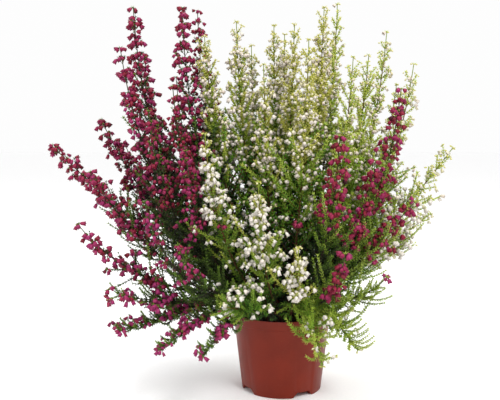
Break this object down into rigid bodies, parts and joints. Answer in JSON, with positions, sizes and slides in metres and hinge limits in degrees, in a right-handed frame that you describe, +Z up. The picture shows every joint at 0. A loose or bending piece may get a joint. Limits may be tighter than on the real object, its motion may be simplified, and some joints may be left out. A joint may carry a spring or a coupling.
{
  "type": "potted cape heath",
  "caption": "Small-flowered heath in a plastic pot: magenta and white flower spires over needle-leaved stems.",
  "frame": {"origin": "middle of the pot's underside, on the surface that the pot stands on", "axes": "+Z up along the pot's axis, -Y towards the front, +X to the right seen from the front"},
  "size_m": [0.418, 0.2649, 0.41],
  "materials": {
    "pot": "satin",
    "soil": "matte",
    "magenta_flowers": "matte",
    "white_flowers": "matte"
  },
  "bodies": {
    "root": {"pot": "pot", "soil": "soil", "magenta_spray_01": "magenta_flowers", "magenta_spray_02": "magenta_flowers", "magenta_spray_03": "magenta_flowers", "magenta_spray_04": "magenta_flowers", "magenta_spray_05": "magenta_flowers", "magenta_spray_06": "magenta_flowers", "magenta_spray_07": "magenta_flowers", "magenta_spray_08": "magenta_flowers", "magenta_spray_09": "magenta_flowers", "magenta_spray_10": "magenta_flowers", "magenta_spray_11": "magenta_flowers", "magenta_spray_12": "magenta_flowers", "magenta_spray_13": "magenta_flowers", "magenta_spray_14": "magenta_flowers", "magenta_spray_15": "magenta_flowers", "magenta_spray_16": "magenta_flowers", "magenta_spray_17": "magenta_flowers", "magenta_spray_18": "magenta_flowers", "magenta_spray_19": "magenta_flowers", "magenta_spray_20": "magenta_flowers", "magenta_spray_21": "magenta_flowers", "magenta_spray_22": "magenta_flowers", "magenta_spray_23": "magenta_flowers", "magenta_spray_24": "magenta_flowers", "magenta_spray_25": "magenta_flowers", "magenta_spray_26": "magenta_flowers", "magenta_spray_27": "magenta_flowers", "magenta_spray_28": "magenta_flowers", "white_spray_01": "white_flowers", "white_spray_02": "white_flowers", "white_spray_03": "white_flowers", "white_spray_04": "white_flowers", "white_spray_05": "white_flowers", "white_spray_06": "white_flowers", "white_spray_07": "white_flowers", "white_spray_08": "white_flowers", "white_spray_09": "white_flowers", "white_spray_10": "white_flowers", "white_spray_11": "white_flowers", "white_spray_12": "white_flowers", "white_spray_13": "white_flowers", "white_spray_14": "white_flowers", "white_spray_15": "white_flowers", "white_spray_16": "white_flowers", "white_spray_17": "white_flowers", "white_spray_18": "white_flowers", "white_spray_19": "white_flowers", "white_spray_20": "white_flowers", "white_spray_21": "white_flowers", "white_spray_22": "white_flowers", "white_spray_23": "white_flowers", "white_spray_24": "white_flowers", "white_spray_25": "white_flowers", "white_spray_26": "white_flowers", "white_spray_27": "white_flowers", "white_spray_28": "white_flowers"}
  },
  "joints": []
}
